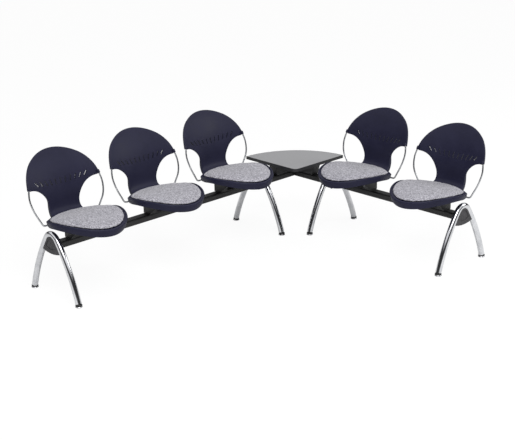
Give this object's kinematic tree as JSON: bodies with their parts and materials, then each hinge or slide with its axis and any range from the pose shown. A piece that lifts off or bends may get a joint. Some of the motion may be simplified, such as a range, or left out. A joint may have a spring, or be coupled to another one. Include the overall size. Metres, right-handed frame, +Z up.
{
  "type": "beam seating",
  "caption": "Free-standing corner bench: moulded seats with fabric pads on two joined beams, arched tubular legs, a quarter-round corner table",
  "frame": {"origin": "on the floor under the middle of the whole object's box", "axes": "+Z up; the longer beam runs along X with its seats facing -Y; the shorter beam runs along Y with its seats facing -X"},
  "size_m": [2.3002, 1.7202, 0.82],
  "materials": {
    "shell_plastic": "satin moulded, fine grain",
    "pad_fabric": "woven heather upholstery",
    "chrome_rod": "polished chrome plate",
    "chrome_tube": "polished chrome plate",
    "black_steel": "black powder coat",
    "casting_grey": "dark grey textured powder coat",
    "bracket_grey": "dark grey powder coat",
    "table_laminate": "grey laminate",
    "table_edging": "black edge band",
    "plug_plastic": "black moulded",
    "glide_metal": "plated steel foot",
    "zinc_screws": "zinc plated",
    "black_bolts": "black oxide"
  },
  "bodies": {
    "root": {"seat_shell_1": "shell_plastic", "seat_pad_1": "pad_fabric", "back_rod_1": "chrome_rod", "seat_bracket_1": "black_steel", "seat_shell_2": "shell_plastic", "seat_pad_2": "pad_fabric", "back_rod_2": "chrome_rod", "seat_bracket_2": "black_steel", "seat_shell_3": "shell_plastic", "seat_pad_3": "pad_fabric", "back_rod_3": "chrome_rod", "seat_bracket_3": "black_steel", "seat_shell_4": "shell_plastic", "seat_pad_4": "pad_fabric", "back_rod_4": "chrome_rod", "seat_bracket_4": "black_steel", "seat_shell_5": "shell_plastic", "seat_pad_5": "pad_fabric", "back_rod_5": "chrome_rod", "seat_bracket_5": "black_steel", "seat_bolts": "zinc_screws", "rod_clips": "black_steel", "beam_left": "black_steel", "beam_right": "black_steel", "corner_insert": "black_steel", "beam_screws": "zinc_screws", "leg_left_end": "chrome_tube", "leg_plugs_left_end": "plug_plastic", "leg_left_inner": "chrome_tube", "leg_plugs_left_inner": "plug_plastic", "leg_right_inner": "chrome_tube", "leg_plugs_right_inner": "plug_plastic", "leg_right_end": "chrome_tube", "leg_plugs_right_end": "plug_plastic", "leg_saddle_left_inner": "casting_grey", "clamp_strap_left_inner": "casting_grey", "clamp_bolts_left_inner": "black_bolts", "leg_saddle_right_inner": "casting_grey", "clamp_strap_right_inner": "casting_grey", "clamp_bolts_right_inner": "black_bolts", "end_bracket_left": "casting_grey", "end_bracket_right": "casting_grey", "table_top": "table_laminate", "table_edge": "table_edging", "table_bracket_left": "bracket_grey", "table_bracket_right": "bracket_grey", "table_bolts": "zinc_screws"},
    "glide_left_end_front": {"glide_left_end_front": "glide_metal"},
    "glide_left_end_rear": {"glide_left_end_rear": "glide_metal"},
    "glide_left_inner_front": {"glide_left_inner_front": "glide_metal"},
    "glide_left_inner_rear": {"glide_left_inner_rear": "glide_metal"},
    "glide_right_inner_front": {"glide_right_inner_front": "glide_metal"},
    "glide_right_inner_rear": {"glide_right_inner_rear": "glide_metal"},
    "glide_right_end_front": {"glide_right_end_front": "glide_metal"},
    "glide_right_end_rear": {"glide_right_end_rear": "glide_metal"}
  },
  "joints": [
    {"name": "glide_left_end_front_height", "type": "slide", "parent": "root", "child": "glide_left_end_front", "axis": [0, 0, -1], "range_m": [0, 0.01]},
    {"name": "glide_left_end_rear_height", "type": "slide", "parent": "root", "child": "glide_left_end_rear", "axis": [0, 0, -1], "range_m": [0, 0.01]},
    {"name": "glide_left_inner_front_height", "type": "slide", "parent": "root", "child": "glide_left_inner_front", "axis": [0, 0, -1], "range_m": [0, 0.01]},
    {"name": "glide_left_inner_rear_height", "type": "slide", "parent": "root", "child": "glide_left_inner_rear", "axis": [0, 0, -1], "range_m": [0, 0.01]},
    {"name": "glide_right_inner_front_height", "type": "slide", "parent": "root", "child": "glide_right_inner_front", "axis": [0, 0, -1], "range_m": [0, 0.01]},
    {"name": "glide_right_inner_rear_height", "type": "slide", "parent": "root", "child": "glide_right_inner_rear", "axis": [0, 0, -1], "range_m": [0, 0.01]},
    {"name": "glide_right_end_front_height", "type": "slide", "parent": "root", "child": "glide_right_end_front", "axis": [0, 0, -1], "range_m": [0, 0.01]},
    {"name": "glide_right_end_rear_height", "type": "slide", "parent": "root", "child": "glide_right_end_rear", "axis": [0, 0, -1], "range_m": [0, 0.01]}
  ]
}
